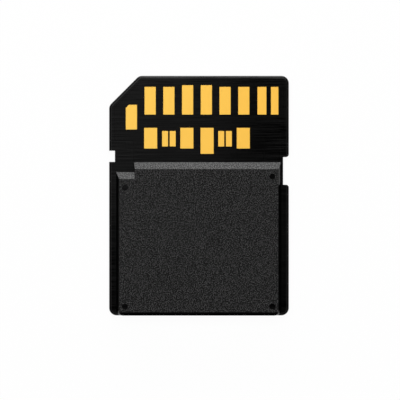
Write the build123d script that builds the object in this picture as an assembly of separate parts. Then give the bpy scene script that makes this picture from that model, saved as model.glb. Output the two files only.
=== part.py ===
from build123d import *
import os
from math import sqrt

# A full-size memory card with two contact rows, lying on its label face with the contacts up.
# Millimetres. The origin is the middle of the label face, +Y is the way the card goes into its slot,
# and +X is to the right of someone looking down on the contacts.
# A start is a distance back from the leading edge.

# Card outline
card_width = 24.0
card_length = 32.0
corner_radius = 1.0
corner_cut = 4.0
cut_corner_radius = 1.0

# Thicknesses, from the label face up: 1.4 in all at the guide rails, 2.1 over the raised panel
front_wall = 0.35
chip_headroom = 0.05
board_thickness = 0.45
panel_height = 0.7

# Notches in the two long edges
notch_depth = 0.78
latch_notch_start = 10.0
latch_notch_length = 1.5
protect_notch_start = 10.85
protect_notch_length = 3.7
protect_notch_round = 0.4

# Edges of the case: a rounded edge takes no more than this share of its wall
rail_edge_round = 0.36
front_edge_round = 0.2
round_share = 0.9
seam_groove = 0.05

# Raised panel on the back cover, a little off the card's middle
rail_width = 1.0
panel_shift = -0.04
panel_start = 11.55
panel_step_width = 2.38
panel_step_setback = 1.32
front_slope_run = 0.92
side_wall_run = 0.39
step_wall_run = 0.12
end_bevel_run = 0.44
end_bevel_drop = 0.24
panel_corner_radius = 0.7
panel_edge_round = 0.12

# Round pin marks in the panel's corners, and the pegs under them that join the covers
mark_diameter = 0.78
mark_sink = 0.1
mark_inset = 0.79
front_mark_inset = 1.0
step_mark_inset = 1.16
peg_diameter = 1.0
peg_length = 0.5
peg_clearance = 0.03

# Label recess in the front cover
label_recess_depth = 0.1
label_margin = 1.2
label_corner_radius = 0.6

# Circuit board
board_rim = 0.7
board_corner_radius = 0.3
board_head_length = 7.9
board_tail_rim = 3.3
board_end_rim = 1.4
board_clearance = 0.02

# Contact pads
pad_thickness = 0.035
mask_gap = 0.05
contact_left_margin = 2.23
contact_right_margin = 1.4
first_row_start = 1.49
first_row_length = 3.7
first_row_width = 1.5
supply_pad_lead = 0.225
pad_7_offset = 2.42
pad_7_width = 1.2
pad_8_offset = 1.7
pad_8_width = 1.0
pad_9_start = 3.88
pad_9_length = 3.3
pad_9_cut = 0.42
second_row_start = 6.95
ground_pad_length = 2.77
ground_pad_width = 1.75
outer_ground_shift = 0.07
inner_ground_shift = 0.1
low_supply_pad_length = 3.48
lane_pad_start = 7.375
lane_pad_length = 2.07
lane_pad_width = 0.8
lane_gap = 0.22

# Wells in the front cover for what stands on the board's inner side
controller_well_start = 5.6
well_margin = 0.5
well_rib = 0.8
well_corner_radius = 0.5
board_land = 0.8

# Packages and small parts on the board
controller_size = 6.0
controller_height = 0.55
flash_width = 11.5
flash_length = 13.0
flash_height = 0.55
package_dot_diameter = 0.5
package_dot_depth = 0.03
package_dot_inset = 0.8
small_part_length = 1.0
small_part_width = 0.5
small_part_gap = 0.35
end_cap_length = 0.22
end_cap_thickness = 0.03
capacitor_height = 0.5
resistor_height = 0.3
controller_row_pitch = 2.2
flash_row_pitch = 6.0

# Heights of the faces where pieces meet
tallest_part = max(controller_height, flash_height, capacitor_height, resistor_height)
parting_z = front_wall + tallest_part + chip_headroom
rail_z = parting_z + board_thickness
card_thickness = rail_z + panel_height

# Places that several pieces share
side_x = card_width / 2
lead_y = card_length / 2
end_y = -card_length / 2
panel_left_x = rail_width - side_x + panel_shift
panel_right_x = side_x - rail_width + panel_shift
panel_y = lead_y - panel_start
step_y = panel_y - panel_step_setback
board_tail_x = side_x - board_tail_rim
controller_y = lead_y - controller_well_start - well_margin - controller_size / 2
flash_y = controller_y - controller_size / 2 - well_margin - well_rib - well_margin - flash_length / 2


def flat_shape(points, radii, growth=0.0):
    """A flat outline through the points, each corner with its radius, grown outwards by growth."""
    face = make_face(FilletPolyline(*points, radius=radii, close=True))
    return offset(face, growth, kind=Kind.INTERSECTION) if growth else face


def inset_cut(inset):
    """The length of the corner cut on an outline that runs this far inside the card's edge."""
    return corner_cut - inset * (2 - sqrt(2))


def plain_outline(inset=0.0, radius=corner_radius, cut_radius=cut_corner_radius):
    """The card seen from above without its notches: a rectangle with one corner cut off."""
    side = side_x - inset
    end = end_y + inset
    lead = lead_y - inset
    cut = inset_cut(inset)
    points = [(-side, end), (side, end), (side, lead), (cut - side, lead), (-side, lead - cut)]
    return flat_shape(points, [radius, radius, radius, cut_radius, cut_radius])


def card_outline():
    """The card seen from above, with the latch notch on the left and the empty one on the right."""
    latch_y = lead_y - latch_notch_start - latch_notch_length / 2
    protect_y = lead_y - protect_notch_start - protect_notch_length / 2
    outline = plain_outline()
    outline -= Pos(-side_x, latch_y) * Rectangle(notch_depth * 2, latch_notch_length)
    outline -= Pos(side_x, protect_y) * Rectangle(notch_depth * 2, protect_notch_length)
    tips = outline.vertices().sort_by_distance((side_x, protect_y))[:2]
    return fillet(tips, protect_notch_round)


def board_outline(growth=0.0):
    """The board seen from above: a wide contact end, and a tail that passes between the pegs."""
    head = side_x - board_rim
    lead = lead_y - board_rim
    shoulder = lead - board_head_length
    end = end_y + board_end_rim
    cut = inset_cut(board_rim)
    points = [
        (-board_tail_x, end),
        (board_tail_x, end),
        (board_tail_x, shoulder),
        (head, shoulder),
        (head, lead),
        (cut - head, lead),
        (-head, lead - cut),
        (-head, shoulder),
        (-board_tail_x, shoulder),
    ]
    return flat_shape(points, board_corner_radius, growth)


def panel_outline(rise=0.0, end_inset=0.0):
    """The raised panel cut level at a share of its rise, with its step back beside the latch notch."""
    left = panel_left_x + side_wall_run * rise
    right = panel_right_x - side_wall_run * rise
    step = panel_left_x + panel_step_width + step_wall_run * rise
    front = panel_y - front_slope_run * rise
    step_front = step_y - front_slope_run * rise
    end = end_y + end_inset
    radius = panel_corner_radius - end_inset
    points = [(left, end), (right, end), (right, front), (step, front), (step, step_front), (left, step_front)]
    return flat_shape(points, [radius, radius, 0, 0, 0, 0])


def raised_panel():
    """The panel on its foot: rounded sides, long slopes in front and a bevel along the rear edge."""
    shoulder = 1 - end_bevel_drop / panel_height
    levels = [(0, 0), (shoulder, 0), (1, end_bevel_run)]
    cuts = [Pos(0, 0, rail_z + panel_height * rise) * panel_outline(rise, inset) for rise, inset in levels]
    panel = loft(cuts, ruled=True)
    # The front edges stay crisp
    front = step_y - front_slope_run - panel_edge_round
    top_edges = panel.edges().group_by(Axis.Z)[-1]
    return fillet(top_edges.filter_by_position(Axis.Y, end_y, front), panel_edge_round)


def mark_places():
    """The middles of the four pin marks, set in from the edges of the panel's top face."""
    left_x = panel_left_x + side_wall_run + mark_inset
    right_x = panel_right_x - side_wall_run - mark_inset
    rear_y = end_y + end_bevel_run + mark_inset
    return [
        (left_x, step_y - front_slope_run - step_mark_inset),
        (right_x, panel_y - front_slope_run - front_mark_inset),
        (left_x, rear_y),
        (right_x, rear_y),
    ]


def contact_layout():
    """Each contact by number: its middle x, its start, its width and its length."""
    pad_9_x = contact_left_margin + first_row_width / 2 - side_x
    pad_8_x = side_x - contact_right_margin - pad_8_width / 2
    pad_7_x = pad_8_x - pad_8_offset
    pad_6_x = pad_7_x - pad_7_offset
    pitch = (pad_6_x - pad_9_x) / 6
    pads = {
        7: (pad_7_x, first_row_start, pad_7_width, first_row_length),
        8: (pad_8_x, first_row_start, pad_8_width, first_row_length),
        9: (pad_9_x, pad_9_start, first_row_width, pad_9_length),
    }
    for number in range(1, 7):
        lead = supply_pad_lead if number in (3, 4) else 0
        x = pad_9_x + number * pitch
        pads[number] = (x, first_row_start - lead, first_row_width, first_row_length + lead)
    # The wide contacts of the second row stand almost in line with contacts 1, 3, 4 and 6
    in_line = {10: (1, outer_ground_shift), 13: (3, -inner_ground_shift)}
    in_line |= {14: (4, inner_ground_shift), 17: (6, -outer_ground_shift)}
    for number, (first_row_number, shift) in in_line.items():
        length = low_supply_pad_length if number == 14 else ground_pad_length
        pads[number] = (pads[first_row_number][0] + shift, second_row_start, ground_pad_width, length)
    # The narrow ones stand in pairs, in line with contacts 2 and 5
    lane_offset = (lane_pad_width + lane_gap) / 2
    for left_number, first_row_number in ((11, 2), (15, 5)):
        pair_x = pads[first_row_number][0]
        pads[left_number] = (pair_x - lane_offset, lane_pad_start, lane_pad_width, lane_pad_length)
        pads[left_number + 1] = (pair_x + lane_offset, lane_pad_start, lane_pad_width, lane_pad_length)
    return pads


def pad_outline(number, growth=0.0):
    """One contact seen from above. Contact 9 loses a corner along the card's cut corner."""
    x, start, width, length = contact_layout()[number]
    left = x - width / 2
    right = x + width / 2
    top = lead_y - start
    bottom = top - length
    points = [(left, bottom), (right, bottom), (right, top)]
    if number == 9:
        points += [(left + pad_9_cut, top), (left, top - pad_9_cut)]
    else:
        points += [(left, top)]
    return flat_shape(points, 0, growth)


def back_cover():
    """Guide rails, contact rim and raised panel in one moulding, with a window for the board."""
    frame = extrude(plain_outline(), board_thickness)
    edge_round = min(rail_edge_round, (board_thickness - seam_groove) * round_share)
    frame = fillet(frame.edges().group_by(Axis.Z)[-1], edge_round)
    frame += extrude(panel_outline(), board_thickness)
    frame = chamfer(frame.edges().group_by(Axis.Z)[0], seam_groove)
    frame = frame & extrude(card_outline(), board_thickness)
    window = extrude(board_outline(board_clearance), board_thickness)
    cover = Pos(0, 0, parting_z) * (frame - window)
    cover += raised_panel()
    for x, y in mark_places():
        cover -= Pos(x, y, card_thickness) * extrude(Circle(mark_diameter / 2), -mark_sink)
        cover += Pos(x, y, parting_z) * extrude(Circle(peg_diameter / 2), -peg_length)
    return cover


def front_cover():
    """The label side: a tray with wells for the chips, sockets for the pegs and a label recess."""
    cover = extrude(plain_outline(), parting_z)
    cover = fillet(cover.edges().group_by(Axis.Z)[0], front_edge_round)
    cover = chamfer(cover.edges().group_by(Axis.Z)[-1], seam_groove)
    cover = cover & extrude(card_outline(), parting_z)
    well_width = (board_tail_x - board_land) * 2
    for well_y, content_length in ((controller_y, controller_size), (flash_y, flash_length)):
        well = RectangleRounded(well_width, content_length + well_margin * 2, well_corner_radius)
        cover -= Pos(0, well_y, front_wall) * extrude(well, parting_z - front_wall)
    socket_radius = peg_diameter / 2 + peg_clearance
    for x, y in mark_places():
        cover -= Pos(x, y, parting_z) * extrude(Circle(socket_radius), -peg_length - peg_clearance)
    label = plain_outline(label_margin, label_corner_radius, label_corner_radius)
    return cover - extrude(label, label_recess_depth)


def circuit_board():
    """The board, with a shallow opening in its solder mask for each contact."""
    board = Pos(0, 0, parting_z) * extrude(board_outline(), board_thickness)
    for number in contact_layout():
        board -= Pos(0, 0, rail_z) * extrude(pad_outline(number, mask_gap), -pad_thickness)
    return board


def contact_pad(number):
    """One gold contact, flush with the board's face."""
    return Pos(0, 0, rail_z) * extrude(pad_outline(number), -pad_thickness)


def package(width, length, height):
    """A moulded chip hanging from the plane z = 0, with a round dot at its first terminal."""
    body = Box(width, length, height, align=(Align.CENTER, Align.CENTER, Align.MAX))
    dot = Pos(package_dot_inset - width / 2, length / 2 - package_dot_inset, -height)
    return body - dot * extrude(Circle(package_dot_diameter / 2), package_dot_depth)


def small_part(height):
    """A capacitor or resistor hanging from the plane z = 0: a ceramic body between two end caps."""
    hang = (Align.CENTER, Align.CENTER, Align.MAX)
    body_width = small_part_width - end_cap_thickness * 2
    body_length = small_part_length - end_cap_length
    body_height = height - end_cap_thickness * 2
    part = Pos(0, 0, -end_cap_thickness) * Box(body_width, body_length, body_height, align=hang)
    cap_y = body_length / 2
    for y in (-cap_y, cap_y):
        part += Pos(0, y, 0) * Box(small_part_width, end_cap_length, height, align=hang)
    return part


def small_part_places():
    """Where the small parts stand, by node name: columns on both sides of each chip."""
    step = small_part_width + small_part_gap
    capacitor_x = (controller_size + step + small_part_gap) / 2
    flash_x = (flash_width + step + small_part_gap) / 2
    places = {}
    corners = [(-1, 1), (1, 1), (-1, -1), (1, -1)]
    for index, (side, row) in enumerate(corners, start=1):
        row_y = controller_y + row * controller_row_pitch / 2
        places[f"capacitor_{index}"] = (side * capacitor_x, row_y)
        places[f"capacitor_{index + len(corners)}"] = (side * flash_x, flash_y + row * flash_row_pitch / 2)
        places[f"resistor_{index}"] = (side * (capacitor_x + step), row_y)
    return places


controller = package(controller_size, controller_size, controller_height)
flash = package(flash_width, flash_length, flash_height)
nodes = {
    "back_cover": back_cover(),
    "front_cover": front_cover(),
    "circuit_board": circuit_board(),
    "controller_chip": Pos(0, controller_y, parting_z) * controller,
    "flash_memory_chip": Pos(0, flash_y, parting_z) * flash,
}
for number in contact_layout():
    nodes[f"contact_pad_{number}"] = contact_pad(number)
for name, (x, y) in small_part_places().items():
    height = capacitor_height if name.startswith("capacitor") else resistor_height
    nodes[name] = Pos(x, y, parting_z) * small_part(height)

os.makedirs("parts", exist_ok=True)
for name, solid in nodes.items():
    export_step(solid, f"parts/{name}.step")
print(f"{len(nodes)} nodes, card {card_thickness:.2f} mm thick, {rail_z:.2f} mm at the rails")
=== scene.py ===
import math
import bpy
from bpy.props import FloatProperty, FloatVectorProperty, IntProperty, PointerProperty
from mathutils import Matrix, Vector


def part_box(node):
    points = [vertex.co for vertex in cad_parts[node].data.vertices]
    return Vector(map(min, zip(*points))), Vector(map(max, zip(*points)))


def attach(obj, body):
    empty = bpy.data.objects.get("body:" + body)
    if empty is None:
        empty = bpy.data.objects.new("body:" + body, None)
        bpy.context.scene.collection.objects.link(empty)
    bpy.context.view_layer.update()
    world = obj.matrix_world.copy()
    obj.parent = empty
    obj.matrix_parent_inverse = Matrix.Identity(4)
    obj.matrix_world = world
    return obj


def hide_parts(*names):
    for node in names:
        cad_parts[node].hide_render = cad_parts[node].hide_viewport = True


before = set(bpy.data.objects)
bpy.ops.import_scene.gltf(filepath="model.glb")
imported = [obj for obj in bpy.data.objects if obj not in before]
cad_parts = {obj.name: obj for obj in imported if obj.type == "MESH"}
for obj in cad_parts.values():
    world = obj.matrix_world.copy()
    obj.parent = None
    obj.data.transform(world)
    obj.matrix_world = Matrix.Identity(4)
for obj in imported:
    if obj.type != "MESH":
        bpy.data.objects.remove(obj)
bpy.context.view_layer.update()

bl_info = {
    "name": "Memory card",
    "version": (1, 0, 0),
    "blender": (4, 5, 0),
    "location": "3D View > Sidebar > Memory card",
    "description": "Finishes, plated contacts, small parts and a studio for a memory card",
    "category": "Object",
}

MILLIMETRE = 0.001
BODY = "root"

# Sockets of a Mix node, whose names repeat: its share, two numbers, two colours, and what comes out
MIX_SHARE = 0
NUMBER_A, NUMBER_B = 2, 3
COLOUR_A, COLOUR_B = 6, 7
NUMBER_OUT, COLOUR_OUT = 0, 2

# Heights of the card's own faces, from the label face up
rail_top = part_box("circuit_board")[1].z
panel_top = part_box("back_cover")[1].z

# Each contact of the frame with the plated piece that takes its place
contacts = {f"contact_pad_{number}": f"plated_contact_{number}" for number in range(1, 18)}
corner_contact = "contact_pad_9"
chips = ["controller_chip", "flash_memory_chip"]
capacitors = [f"capacitor_{number}" for number in range(1, 9)]
resistors = [f"resistor_{number}" for number in range(1, 5)]


def linear(hex_code):
    """An sRGB hex colour as linear red, green, blue and alpha."""
    channels = [int(hex_code[start:start + 2], 16) / 255 for start in (1, 3, 5)]
    lit = [c / 12.92 if c <= 0.04045 else ((c + 0.055) / 1.055) ** 2.4 for c in channels]
    return (*lit, 1.0)


def length(name, description, millimetres):
    """A size that a user may change, given here in millimetres."""
    return FloatProperty(
        name=name, description=description, default=millimetres * MILLIMETRE, min=0.0, precision=6,
        unit="LENGTH",
    )


def shade(name, description, hex_code):
    """A colour that a user may change."""
    return FloatVectorProperty(
        name=name, description=description, default=linear(hex_code), size=4, min=0.0, max=1.0,
        subtype="COLOR",
    )


def share(name, description, default):
    """A number from 0 to 1 that a user may change."""
    return FloatProperty(
        name=name, description=description, default=default, min=0.0, max=1.0, subtype="FACTOR",
    )


class CardCase(bpy.types.PropertyGroup):
    """Finish of the two mouldings."""
    # Pits and crests are lit and shaded copies of one black plastic: painted shade in the pits, painted
    # light on the crests
    shaded_pit_colour: shade("Pits", "Plastic at the bottom of the panel's grain", "#000000")
    lit_crest_colour: shade("Crests", "Plastic at the top of the panel's grain", "#606060")
    rail_colour: shade("Rails", "Plastic of the polished rails", "#0a0a0a")
    label_colour: shade("Label side", "Plastic of the label side", "#161617")
    panel_roughness: share("Panel roughness", "Roughness of the spark-eroded panel", 0.35)
    rail_roughness: share("Rail roughness", "Roughness of the polished rails", 0.08)
    label_roughness: share("Label side roughness", "Roughness of the label side", 0.4)
    gloss: share("Gloss", "Specular level of the plastic", 0.16)
    grain_size: length("Grain size", "Width of one crater of the panel's grain", 0.15)
    grain_depth: length("Grain depth", "Depth of the panel's grain", 0.005)
    line_spacing: length("Line spacing", "Distance between the drag lines", 0.13)
    line_length: length("Line length", "Length of one drag line", 5.0)
    line_depth: length("Line depth", "Depth of the drag lines", 0.0024)


class CardBoard(bpy.types.PropertyGroup):
    """Finish of the circuit board."""
    mask_colour: shade("Solder mask", "Black solder mask", "#000000")
    # The ridges are painted lighter than the mask, a painted sheen along the drag lines
    lit_ridge_colour: shade("Mask ridges", "Solder mask where the print left it thicker", "#070707")
    roughness: share("Roughness", "Roughness of the solder mask", 0.08)
    gloss: share("Gloss", "Specular level of the solder mask", 0.16)


class CardContacts(bpy.types.PropertyGroup):
    """Shape and plating of the contacts."""
    corner_radius: length("Corner radius", "Radius of a contact's corners", 0.04)
    corner_steps: IntProperty(name="Corner steps", description="Edges round one corner", default=6, min=1)
    edge_round: length("Edge round", "Rounding of the plating along a contact's edge", 0.012)
    corner_cut: length("Corner cut", "Corner taken off the contact behind the cut corner", 0.42)
    gold_colour: shade("Gold", "Hard gold plating", "#fdd061")
    redder_gold_colour: shade("Rubbed gold", "Plating where slot springs wipe it", "#fdc856")
    roughness: share("Roughness", "Roughness of the plating", 0.55)


class CardSmallParts(bpy.types.PropertyGroup):
    """Shape and finish of the chips, capacitors and resistors inside."""
    resin_colour: shade("Resin", "Moulded epoxy of the chips", "#1c1c1e")
    ceramic_colour: shade("Ceramic", "Fired ceramic of the capacitors", "#a58b6b")
    glaze_colour: shade("Glaze", "Glaze over the resistors", "#16171a")
    tin_colour: shade("Tin", "Tinned ends of the small parts", "#c9c8c4")
    end_length: length("End length", "Length of a tinned end", 0.22)
    end_thickness: length("End thickness", "How far an end stands proud of the ceramic", 0.03)
    edge_round: length("Edge round", "Rounding along the edges", 0.02)


class CardStudio(bpy.types.PropertyGroup):
    """Floor, light and camera."""
    view_width: length("View width", "Width of what the camera sees at the contacts", 53.38)
    view_centre: FloatVectorProperty(
        name="View centre", description="Point of the card under the camera",
        default=(0.000134, -0.000586), size=2, precision=6, unit="LENGTH",
    )
    camera_height: length("Camera height", "Height of the camera over the contacts", 450.0)
    floor_colour: shade("Floor", "White paper the card lies on", "#fdfdfd")
    room_colour: shade("Room", "Dim room round the studio", "#333333")
    shadow_depth: share("Shadow depth", "How much of the card's shadow the floor shows", 0.04)


def add(tree, kind, inputs=None, **settings):
    """Add a node with its settings. An input given as a socket is linked, and any other is set."""
    made = tree.nodes.new(kind)
    for setting, value in settings.items():
        setattr(made, setting, value)
    for name, value in (inputs or {}).items():
        if isinstance(value, bpy.types.NodeSocket):
            tree.links.new(value, made.inputs[name])
        else:
            made.inputs[name].default_value = value
    return made


def finish(name, **values):
    """A new material: its node tree, its shader with the plain values set, and the place on the card."""
    material = bpy.data.materials.new(name)
    material.use_nodes = True
    tree = material.node_tree
    shader = tree.nodes["Principled BSDF"]
    for socket, value in values.items():
        shader.inputs[socket.replace("_", " ")].default_value = value
    place = add(tree, "ShaderNodeTexCoord").outputs["Object"]
    return material, tree, shader, place


def surface(tree, shader, colour, roughness, height, depth):
    """Link a colour and a roughness to the shader, and raise its surface by a pattern of this depth."""
    bump = add(tree, "ShaderNodeBump", {"Height": height, "Strength": 1.0, "Distance": depth})
    sources = {"Base Color": colour, "Roughness": roughness, "Normal": bump.outputs[0]}
    for name, source in sources.items():
        tree.links.new(source, shader.inputs[name])


def vary(tree, shader, pattern, colours, roughness, spread, depth, tint=None):
    """Let one pattern vary colour, roughness and height. A tint takes its place for the colour."""
    toned = add(
        tree, "ShaderNodeMix",
        {MIX_SHARE: pattern if tint is None else tint, COLOUR_A: colours[0], COLOUR_B: colours[1]},
        data_type="RGBA",
    )
    rough = add(
        tree, "ShaderNodeMapRange",
        {"Value": pattern, "To Min": roughness - spread, "To Max": roughness + spread},
    )
    surface(tree, shader, toned.outputs[COLOUR_OUT], rough.outputs[0], pattern, depth)


def drag_lines(tree, place, case):
    """Faint lines across the card, as long and as far apart as the case says."""
    # Real ones are about 0.03 mm apart. They are drawn four times as far apart, so that they show.
    stretch = (1 / case.line_length, 1 / case.line_spacing, 1 / case.line_spacing)
    stretched = add(tree, "ShaderNodeMapping", {"Vector": place, "Scale": stretch})
    waves = add(tree, "ShaderNodeTexNoise", {"Vector": stretched.outputs[0], "Scale": 1.0, "Detail": 0.0})
    # Noise at the bottom and at the top of a line
    trough = 0.44
    ridge = 0.68
    lines = add(
        tree, "ShaderNodeMapRange", {"Value": waves.outputs[0], "From Min": trough, "From Max": ridge}
    )
    return lines.outputs[0]


def pitted_panel(tree, place):
    """1 on the open faces of the raised panel, and 0 on its walls, in its pin marks and on the rails."""
    over_rails = rail_top + 0.01 * MILLIMETRE
    # Up and towards the contact end, as the slopes in front of the panel lean. Walls face other ways.
    open_way = (0.0, 0.5, 1.0)
    least_open = 0.93
    # A level face under the panel's top is the floor of a pin mark
    over_marks = panel_top - 0.02 * MILLIMETRE
    least_level = 0.9
    height = add(tree, "ShaderNodeSeparateXYZ", {0: place}).outputs["Z"]
    normal = add(tree, "ShaderNodeNewGeometry").outputs["True Normal"]
    upward = add(tree, "ShaderNodeSeparateXYZ", {0: normal}).outputs["Z"]
    leaning = add(tree, "ShaderNodeVectorMath", {0: normal, 1: open_way}, operation="DOT_PRODUCT")
    raised = add(tree, "ShaderNodeMath", {0: height, 1: over_rails}, operation="GREATER_THAN")
    open_face = add(
        tree, "ShaderNodeMath", {0: leaning.outputs["Value"], 1: least_open}, operation="GREATER_THAN"
    )
    above = add(
        tree, "ShaderNodeMath", {0: raised.outputs[0], 1: open_face.outputs[0]}, operation="MULTIPLY"
    )
    level = add(tree, "ShaderNodeMath", {0: upward, 1: least_level}, operation="GREATER_THAN")
    below = add(tree, "ShaderNodeMath", {0: height, 1: over_marks}, operation="LESS_THAN")
    sunk = add(tree, "ShaderNodeMath", {0: level.outputs[0], 1: below.outputs[0]}, operation="MULTIPLY")
    panel = add(
        tree, "ShaderNodeMath", {0: above.outputs[0], 1: sunk.outputs[0]},
        operation="SUBTRACT", use_clamp=True,
    )
    return panel.outputs[0]


def crater_grain(tree, place, case):
    """Crests of uneven height between the pits of the panel's grain."""
    # Real craters are about 0.05 mm across. They are drawn three times as wide, so that they show.
    cells = add(
        tree, "ShaderNodeTexVoronoi", {"Vector": place, "Scale": 1 / case.grain_size},
        voronoi_dimensions="2D",
    ).outputs
    # How far from the middle of a cell the top of its crest ends and its pit begins, in cells
    top = 0.2
    pit = 0.4
    crest = add(
        tree, "ShaderNodeMapRange",
        {"Value": cells["Distance"], "From Min": top, "From Max": pit, "To Min": 1.0, "To Max": 0.0},
    )
    grain = add(tree, "ShaderNodeMath", {0: crest.outputs[0], 1: cells["Color"]}, operation="MULTIPLY")
    return grain.outputs[0]


def case_plastic(case):
    """Moulded black ABS of the back cover."""
    # Spark erosion leaves the mould finely pitted, so the raised panel is matt and grainy. The rails and
    # the four pin marks come off polished steel and shine, with faint drag lines across the card.
    material, tree, shader, place = finish(
        "moulded ABS, spark-eroded panel", Specular_IOR_Level=case.gloss
    )
    panel = pitted_panel(tree, place)
    grain = crater_grain(tree, place, case)
    lines = drag_lines(tree, place, case)
    # The grain's pits take painted shade and its crests painted light, over a tone that differs at random
    # from crater to crater
    lit_and_shaded_grain = add(
        tree, "ShaderNodeMix",
        {MIX_SHARE: grain, COLOUR_A: case.shaded_pit_colour, COLOUR_B: case.lit_crest_colour}, data_type="RGBA",
    ).outputs[COLOUR_OUT]
    # On the rails the drag lines' troughs take the painted shade of the pits
    lines_with_shaded_troughs = add(
        tree, "ShaderNodeMix",
        {MIX_SHARE: lines, COLOUR_A: case.shaded_pit_colour, COLOUR_B: case.rail_colour}, data_type="RGBA",
    ).outputs[COLOUR_OUT]
    painted = add(
        tree, "ShaderNodeMix", {MIX_SHARE: panel, COLOUR_A: lines_with_shaded_troughs, COLOUR_B: lit_and_shaded_grain}, data_type="RGBA"
    ).outputs[COLOUR_OUT]
    rough = add(
        tree, "ShaderNodeMix",
        {MIX_SHARE: panel, NUMBER_A: case.rail_roughness, NUMBER_B: case.panel_roughness},
    ).outputs[NUMBER_OUT]
    faintness = case.line_depth / case.grain_depth
    faint = add(tree, "ShaderNodeMath", {0: lines, 1: faintness}, operation="MULTIPLY").outputs[0]
    pattern = add(
        tree, "ShaderNodeMix", {MIX_SHARE: panel, NUMBER_A: faint, NUMBER_B: grain}
    ).outputs[NUMBER_OUT]
    surface(tree, shader, painted, rough, pattern, case.grain_depth)
    return material


def label_plastic(case):
    """Moulded black ABS of the front cover."""
    # A finer spark-eroded finish than the panel's: satin black that hides fingermarks beside a label.
    # Its real grain is about 0.03 mm wide. It is drawn more than twice as wide, so that it shows.
    material, tree, shader, place = finish("moulded ABS, satin", Specular_IOR_Level=case.gloss)
    fine_size = case.grain_size / 2
    fine_depth = case.grain_depth / 4
    noise = add(tree, "ShaderNodeTexNoise", {"Vector": place, "Scale": 1 / fine_size, "Detail": 2.0})
    # The low parts of the grain take the pits' painted shade
    tones = (case.shaded_pit_colour, case.label_colour)
    vary(tree, shader, noise.outputs[0], tones, case.label_roughness, spread=0.06, depth=fine_depth)
    return material


def solder_mask(board, case):
    """Black solder mask of the circuit board."""
    # Screen-printed epoxy over glass cloth: a deep glossy black with faint ridges across the card.
    material, tree, shader, place = finish("screen-printed solder mask", Specular_IOR_Level=board.gloss)
    lines = drag_lines(tree, place, case)
    # The ridges of the drag lines are painted lighter as sheen, besides being raised by the bump
    tones = (board.mask_colour, board.lit_ridge_colour)
    vary(tree, shader, lines, tones, board.roughness, spread=0.01, depth=case.line_depth)
    return material


def hard_gold(plating, case):
    """Hard gold of the contacts."""
    # Gold plated over nickel and copper: a warm satin metal, with hairlines the way the slot springs
    # wipe it. Real hairlines are about 0.01 mm wide. They are drawn 0.12 mm wide, so that they show.
    material, tree, shader, place = finish("hard gold plate", Metallic=1.0)
    across = 1 / (0.12 * MILLIMETRE)
    along = 1 / (2.5 * MILLIMETRE)
    wiped = add(tree, "ShaderNodeMapping", {"Vector": place, "Scale": (across, along, across)})
    noise = add(tree, "ShaderNodeTexNoise", {"Vector": wiped.outputs[0], "Scale": 1.0, "Detail": 2.0})
    hairlines = noise.outputs[0]
    # The contacts turn redder from left to right across the card, away from the cut corner, and more so in
    # the hairlines
    across_card = add(tree, "ShaderNodeSeparateXYZ", {0: place}).outputs["X"]
    row_end = 10 * MILLIMETRE
    row_share = 0.8
    hairline_share = 0.2
    redder = add(
        tree, "ShaderNodeMapRange",
        {"Value": across_card, "From Min": -row_end, "From Max": row_end, "To Max": row_share},
    )
    reddening = add(
        tree, "ShaderNodeMath", {0: hairlines, 1: hairline_share, 2: redder.outputs[0]},
        operation="MULTIPLY_ADD",
    )
    tones = (plating.gold_colour, plating.redder_gold_colour)
    hairline_depth = case.line_depth / 10
    vary(
        tree, shader, hairlines, tones, plating.roughness, spread=0.03, depth=hairline_depth,
        tint=reddening.outputs[0],
    )
    return material


def speckled(name, tone, dark_share, speck, roughness, depth, **values):
    """A fired or moulded body: one colour, broken up by specks of its own filler."""
    material, tree, shader, place = finish(name, **values)
    specks = add(tree, "ShaderNodeTexNoise", {"Vector": place, "Scale": 1 / speck, "Detail": 3.0})
    dark = [channel * dark_share for channel in tone[:3]] + [1.0]
    vary(tree, shader, specks.outputs[0], (dark, tone), roughness, spread=0.1, depth=depth)
    return material


def shape_tree(name, inputs, result):
    """A new tree of Geometry Nodes with its named inputs, and one shape as its result."""
    tree = bpy.data.node_groups.new(name, "GeometryNodeTree")
    for socket, kind in inputs.items():
        tree.interface.new_socket(socket, in_out="INPUT", socket_type=f"NodeSocket{kind}")
    tree.interface.new_socket(result, in_out="OUTPUT", socket_type="NodeSocketGeometry")
    given = add(tree, "NodeGroupInput").outputs
    return tree, given


def contact_tree():
    """Nodes that make one contact from its outline: corners rounded, filled and given its thickness."""
    inputs = {
        "Outline": "Geometry",
        "Thickness": "Float",
        "Corner radius": "Float",
        "Corner steps": "Int",
        "Plating": "Material",
    }
    tree, given = shape_tree("plated contact", inputs, "Contact")
    ring = add(tree, "GeometryNodeMeshToCurve", {"Mesh": given["Outline"]})
    rounding = {
        "Curve": ring.outputs[0],
        "Radius": given["Corner radius"],
        "Count": given["Corner steps"],
        "Limit Radius": True,
    }
    rounded = add(tree, "GeometryNodeFilletCurve", rounding, mode="POLY")
    foot = add(tree, "GeometryNodeFillCurve", {"Curve": rounded.outputs[0]}, mode="NGONS")
    rise = add(tree, "ShaderNodeCombineXYZ", {"Z": given["Thickness"]})
    body = add(
        tree, "GeometryNodeExtrudeMesh",
        {"Mesh": foot.outputs[0], "Offset": rise.outputs[0], "Offset Scale": 1.0, "Individual": False},
        mode="FACES",
    )
    underside = add(tree, "GeometryNodeFlipFaces", {"Mesh": foot.outputs[0]})
    whole = add(tree, "GeometryNodeJoinGeometry", {0: underside.outputs[0]})
    tree.links.new(body.outputs[0], whole.inputs[0])
    # The tree works in millimetres
    touching = 0.0001
    closed = add(tree, "GeometryNodeMergeByDistance", {"Geometry": whole.outputs[0], "Distance": touching})
    real = add(tree, "GeometryNodeRealizeInstances", {0: closed.outputs[0]})
    plated = add(
        tree, "GeometryNodeSetMaterial", {"Geometry": real.outputs[0], "Material": given["Plating"]}
    )
    add(tree, "NodeGroupOutput", {0: plated.outputs[0]})
    return tree


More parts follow.
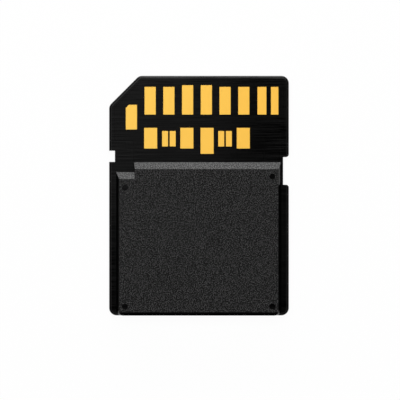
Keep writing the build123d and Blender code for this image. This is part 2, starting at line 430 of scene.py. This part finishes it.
def small_part_tree():
    """Nodes that make one capacitor or resistor: a body between two tinned ends, along the card."""
    inputs = {
        "Start": "Geometry",
        "Size": "Vector",
        "End length": "Float",
        "End thickness": "Float",
        "Body finish": "Material",
        "End finish": "Material",
    }
    tree, given = shape_tree("small part", inputs, "Part")
    size = add(tree, "ShaderNodeSeparateXYZ", {0: given["Size"]}).outputs
    # The ends stand proud on both sides of the body
    proud = add(
        tree, "ShaderNodeMath", {0: given["End thickness"], 1: 2.0}, operation="MULTIPLY"
    ).outputs[0]
    narrow = add(tree, "ShaderNodeMath", {0: size["X"], 1: proud}, operation="SUBTRACT").outputs[0]
    low = add(tree, "ShaderNodeMath", {0: size["Z"], 1: proud}, operation="SUBTRACT").outputs[0]
    between = add(
        tree, "ShaderNodeMath", {0: size["Y"], 1: given["End length"]}, operation="SUBTRACT"
    ).outputs[0]
    body_size = add(tree, "ShaderNodeCombineXYZ", {"X": narrow, "Y": between, "Z": low})
    body = add(tree, "GeometryNodeMeshCube", {"Size": body_size.outputs[0]})
    fired = add(
        tree, "GeometryNodeSetMaterial", {"Geometry": body.outputs[0], "Material": given["Body finish"]}
    )
    end_size = add(
        tree, "ShaderNodeCombineXYZ", {"X": size["X"], "Y": given["End length"], "Z": size["Z"]}
    )
    end = add(tree, "GeometryNodeMeshCube", {"Size": end_size.outputs[0]})
    tinned = add(
        tree, "GeometryNodeSetMaterial", {"Geometry": end.outputs[0], "Material": given["End finish"]}
    )
    gap = add(tree, "ShaderNodeCombineXYZ", {"Y": between}).outputs[0]
    pair = add(tree, "GeometryNodeMeshLine", {"Count": 2, "Offset": gap}, mode="OFFSET")
    half_back = add(tree, "ShaderNodeVectorMath", {0: gap, "Scale": -0.5}, operation="SCALE")
    centred = add(
        tree, "GeometryNodeTransform", {"Geometry": pair.outputs[0], "Translation": half_back.outputs[0]}
    )
    ends = add(
        tree, "GeometryNodeInstanceOnPoints", {"Points": centred.outputs[0], "Instance": tinned.outputs[0]}
    )
    whole = add(tree, "GeometryNodeJoinGeometry", {0: fired.outputs[0]})
    tree.links.new(ends.outputs[0], whole.inputs[0])
    real = add(tree, "GeometryNodeRealizeInstances", {0: whole.outputs[0]})
    add(tree, "NodeGroupOutput", {0: real.outputs[0]})
    return tree


def shaped(name, mesh, tree, inputs, edge_round):
    """A plain mesh made by the nodes and finished with rounded edges, in millimetres."""
    sharp = math.radians(60)
    round_steps = 3
    blank = bpy.data.objects.new(name, mesh)
    bpy.context.collection.objects.link(blank)
    nodes = blank.modifiers.new("nodes", "NODES")
    nodes.node_group = tree
    for socket, value in inputs.items():
        nodes[tree.interface.items_tree[socket].identifier] = value
    edges = blank.modifiers.new("edges", "BEVEL")
    edges.width = edge_round / MILLIMETRE
    edges.segments = round_steps
    edges.limit_method = "ANGLE"
    edges.angle_limit = sharp
    made = bpy.data.meshes.new_from_object(blank.evaluated_get(bpy.context.evaluated_depsgraph_get()))
    bpy.data.objects.remove(blank)
    return made


def settle(name, made, middle, node):
    """Put a mesh made in millimetres at its place on the card, in the stead of a node."""
    made.transform(Matrix.Translation(middle) @ Matrix.Scale(MILLIMETRE, 4))
    # Only the rounded edges are shaded smooth, so that the flat faces stay flat
    square = 0.999
    rounded = [max(abs(part) for part in face.normal) < square for face in made.polygons]
    made.polygons.foreach_set("use_smooth", rounded)
    piece = bpy.data.objects.new(name, made)
    bpy.context.collection.objects.link(piece)
    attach(piece, BODY)
    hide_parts(node)


def dress(node, material):
    """Give a node of the frame a finished material."""
    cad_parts[node].material_slots[0].material = material


class CARD_OT_case(bpy.types.Operator):
    """Finish the two mouldings of the case"""
    bl_idname = "card.case"
    bl_label = "Case"

    def execute(self, context):
        case = context.scene.card_case
        dress("back_cover", case_plastic(case))
        dress("front_cover", label_plastic(case))
        return {"FINISHED"}


class CARD_OT_board(bpy.types.Operator):
    """Finish the circuit board"""
    bl_idname = "card.board"
    bl_label = "Circuit board"

    def execute(self, context):
        dress("circuit_board", solder_mask(context.scene.card_board, context.scene.card_case))
        return {"FINISHED"}


class CARD_OT_contacts(bpy.types.Operator):
    """Make the plated contacts"""
    bl_idname = "card.contacts"
    bl_label = "Contacts"

    def execute(self, context):
        plating = context.scene.card_contacts
        gold = hard_gold(plating, context.scene.card_case)
        tree = contact_tree()
        for node, name in contacts.items():
            low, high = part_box(node)
            wide, long, thick = (high - low) / MILLIMETRE / 2
            corners = [(-wide, -long, -thick), (wide, -long, -thick), (wide, long, -thick)]
            if node == corner_contact:
                cut = plating.corner_cut / MILLIMETRE
                corners += [(cut - wide, long, -thick), (-wide, long - cut, -thick)]
            else:
                corners += [(-wide, long, -thick)]
            outline = bpy.data.meshes.new(node)
            sides = [(start, (start + 1) % len(corners)) for start in range(len(corners))]
            outline.from_pydata(corners, sides, [])
            sizes = {
                "Thickness": thick * 2,
                "Corner radius": plating.corner_radius / MILLIMETRE,
                "Corner steps": plating.corner_steps,
                "Plating": gold,
            }
            made = shaped(node, outline, tree, sizes, plating.edge_round)
            settle(name, made, (low + high) / 2, node)
        return {"FINISHED"}


class CARD_OT_chips(bpy.types.Operator):
    """Finish the two moulded chips"""
    bl_idname = "card.chips"
    bl_label = "Chips"

    def execute(self, context):
        # Epoxy moulded round a chip: dark grey with fine silica specks, and a satin skin off the mould.
        resin = speckled(
            "moulded epoxy", context.scene.card_small_parts.resin_colour, dark_share=0.6,
            speck=0.06 * MILLIMETRE, roughness=0.5, depth=0.004 * MILLIMETRE,
        )
        for node in chips:
            dress(node, resin)
        return {"FINISHED"}


class CARD_OT_small_parts(bpy.types.Operator):
    """Make the capacitors and resistors on the board's inner side"""
    bl_idname = "card.small_parts"
    bl_label = "Small parts"

    def execute(self, context):
        parts = context.scene.card_small_parts
        tree = small_part_tree()
        # Fired barium titanate: an even tan, with a slight grain drawn coarse enough to show.
        ceramic = speckled(
            "fired ceramic", parts.ceramic_colour, dark_share=0.75,
            speck=0.03 * MILLIMETRE, roughness=0.45, depth=0.002 * MILLIMETRE,
        )
        # Glass glaze fired over the resistor: black and glossy, with slight waves.
        glaze = speckled(
            "fired glass glaze", parts.glaze_colour, dark_share=0.8,
            speck=0.15 * MILLIMETRE, roughness=0.2, depth=0.002 * MILLIMETRE,
        )
        # Electroplated tin over nickel: a pale, matt metal with crystals, drawn coarse enough to show.
        tin = speckled(
            "matt tin plate", parts.tin_colour, dark_share=0.85,
            speck=0.02 * MILLIMETRE, roughness=0.45, depth=0.001 * MILLIMETRE, Metallic=1.0,
        )
        groups = [(capacitors, ceramic, "capacitor_ceramic"), (resistors, glaze, "resistor_glaze")]
        for nodes, body, slot in groups:
            for node in nodes:
                low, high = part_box(node)
                sizes = {
                    "Size": (high - low) / MILLIMETRE,
                    "End length": parts.end_length / MILLIMETRE,
                    "End thickness": parts.end_thickness / MILLIMETRE,
                    "Body finish": body,
                    "End finish": tin,
                }
                made = shaped(node, bpy.data.meshes.new(node), tree, sizes, parts.edge_round)
                settle(f"fired_{node}", made, (low + high) / 2, node)
        return {"FINISHED"}


# Softboxes round the card: where each stands, its width and height in metres, and its radiance
softboxes = {
    "leading softbox": ((-0.03, 0.43, 0.07), (0.40, 0.10), 17.0),
    "upper softbox": ((0.0, 0.20, 0.35), (0.40, 0.16), 3.45),
    "left softbox": ((-0.20, 0.0, 0.35), (0.40, 0.16), 1.15),
    "right softbox": ((0.20, 0.0, 0.35), (0.40, 0.16), 1.15),
    "lower softbox": ((0.0, -0.20, 0.35), (0.40, 0.16), 0.9),
}

# Dim panels hung flat above the camera, whose edges the polished faces mirror: where each hangs, its
# width and depth in metres, and its radiance. The left panel hangs just under the overhead panel, so
# that neither hides the other and their light adds.
panels = {
    "overhead panel": ((-0.284, 0.295, 0.9), (0.60, 0.60), 0.68),
    "left panel": ((-0.306, 0.34, 0.89), (0.58, 0.60), 0.4),
    "corner panel": ((0.066, 0.086, 0.9), (0.06, 0.06), 1.4),
    "rail panel": ((0.054, -0.016, 0.9), (0.04, 0.028), 0.35),
}


class CARD_OT_stage(bpy.types.Operator):
    """Set up the floor, the light and the camera"""
    bl_idname = "card.stage"
    bl_label = "Stage"

    def execute(self, context):
        studio = context.scene.card_studio
        self.floor(studio)
        for name, (place, size, radiance) in softboxes.items():
            towards_card = Vector(place).to_track_quat("Z", "Y").to_euler()
            self.lamp(name, place, towards_card, size, radiance)
        straight_down = (0.0, 0.0, 0.0)
        for name, (place, size, radiance) in panels.items():
            self.lamp(name, place, straight_down, size, radiance)
        self.flag("leading softbox")
        self.room(context.scene, studio)
        self.camera(context.scene, studio)
        context.scene.view_settings.view_transform = "Standard"
        return {"FINISHED"}

    def floor(self, studio):
        """White paper under the card, which keeps a faint shadow."""
        reach = 1.5
        under = -0.01 * MILLIMETRE
        corners = [
            (-reach, -reach, under),
            (reach, -reach, under),
            (reach, reach, under),
            (-reach, reach, under),
        ]
        sheet = bpy.data.meshes.new("floor")
        sheet.from_pydata(corners, [], [(0, 1, 2, 3)])
        sheet.materials.append(self.paper(studio))
        floor = bpy.data.objects.new("floor", sheet)
        bpy.context.collection.objects.link(floor)

    def paper(self, studio):
        """Matt white paper."""
        # Pressed wood fibres scatter all light, so the paper has no shine. It looks white to the camera
        # and to polished faces, apart from the share of the card's shadow that shows.
        paper, tree, shader, place = finish("matt white paper", Roughness=0.9, Specular_IOR_Level=0.1)
        # Real fibres are about 0.03 mm wide. They are drawn in tufts of 0.4 mm, so that they show.
        tuft = 0.4 * MILLIMETRE
        dark_share = 0.99
        fibres = add(tree, "ShaderNodeTexNoise", {"Vector": place, "Scale": 1 / tuft}).outputs[0]
        dark = [channel * dark_share for channel in studio.floor_colour[:3]] + [1.0]
        toned = add(
            tree, "ShaderNodeMix",
            {MIX_SHARE: fibres, COLOUR_A: dark, COLOUR_B: studio.floor_colour}, data_type="RGBA",
        )
        tree.links.new(toned.outputs[COLOUR_OUT], shader.inputs["Base Color"])
        path = add(tree, "ShaderNodeLightPath").outputs
        seen = path["Is Camera Ray"]
        for ray in ("Is Glossy Ray", "Is Transmission Ray"):
            seen = add(tree, "ShaderNodeMath", {0: seen, 1: path[ray]}, operation="ADD").outputs[0]
        white = add(
            tree, "ShaderNodeMath", {0: seen, 1: 1 - studio.shadow_depth}, operation="MULTIPLY",
            use_clamp=True,
        )
        glow = add(tree, "ShaderNodeEmission", {"Strength": 1.0})
        both = add(
            tree, "ShaderNodeMixShader", {0: white.outputs[0], 1: shader.outputs[0], 2: glow.outputs[0]}
        )
        tree.links.new(both.outputs[0], tree.nodes["Material Output"].inputs["Surface"])
        return paper

    def lamp(self, name, place, turn, size, radiance):
        """A rectangular lamp at its place, turned as given."""
        light = bpy.data.lights.new(name, "AREA")
        light.shape = "RECTANGLE"
        light.size, light.size_y = size
        light.energy = radiance * math.pi * light.size * light.size_y
        lamp = bpy.data.objects.new(name, light)
        lamp.location = place
        lamp.rotation_euler = turn
        lamp.visible_camera = False
        bpy.context.collection.objects.link(lamp)

    def flag(self, name):
        """A flag that keeps a lamp off the board and its contacts, whose gold it would burn out."""
        shaded = bpy.data.collections.new(f"shaded from the {name}")
        shaded.objects.link(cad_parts["circuit_board"])
        for plated in contacts.values():
            shaded.objects.link(bpy.data.objects[plated])
        for member in shaded.collection_objects:
            member.light_linking.link_state = "EXCLUDE"
        bpy.data.objects[name].light_linking.receiver_collection = shaded

    def room(self, scene, studio):
        """The dim room behind the lamps."""
        scene.world = bpy.data.worlds.new("room")
        scene.world.use_nodes = True
        scene.world.node_tree.nodes["Background"].inputs["Color"].default_value = studio.room_colour

    def camera(self, scene, studio):
        """A long lens straight above the contacts."""
        lens = bpy.data.cameras.new("camera")
        lens.lens = lens.sensor_width * studio.camera_height / studio.view_width
        camera = bpy.data.objects.new("camera", lens)
        camera.location = (*studio.view_centre, rail_top + studio.camera_height)
        bpy.context.collection.objects.link(camera)
        scene.camera = camera


class CARD_PT_looks(bpy.types.Panel):
    """The card's pieces, finishes and studio"""
    bl_idname = "CARD_PT_looks"
    bl_label = "Memory card"
    bl_space_type = "VIEW_3D"
    bl_region_type = "UI"
    bl_category = "Memory card"

    def draw(self, context):
        for name, group in settings.items():
            box = self.layout.box()
            for prop in group.__annotations__:
                box.prop(getattr(context.scene, name), prop)
        for operator in operators:
            self.layout.operator(operator.bl_idname)


settings = {
    "card_case": CardCase,
    "card_board": CardBoard,
    "card_contacts": CardContacts,
    "card_small_parts": CardSmallParts,
    "card_studio": CardStudio,
}
operators = [
    CARD_OT_case,
    CARD_OT_board,
    CARD_OT_contacts,
    CARD_OT_chips,
    CARD_OT_small_parts,
    CARD_OT_stage,
]
classes = [*settings.values(), *operators, CARD_PT_looks]


def register():
    """Add the classes and the card's settings."""
    for made in classes:
        bpy.utils.register_class(made)
    for name, group in settings.items():
        setattr(bpy.types.Scene, name, PointerProperty(type=group))


def unregister():
    """Take the card's settings and the classes away."""
    for name in settings:
        delattr(bpy.types.Scene, name)
    for made in reversed(classes):
        bpy.utils.unregister_class(made)


def main():
    """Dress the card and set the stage."""
    register()
    bpy.ops.card.case()
    bpy.ops.card.board()
    bpy.ops.card.contacts()
    bpy.ops.card.chips()
    bpy.ops.card.small_parts()
    bpy.ops.card.stage()


if __name__ == "__main__":
    main()
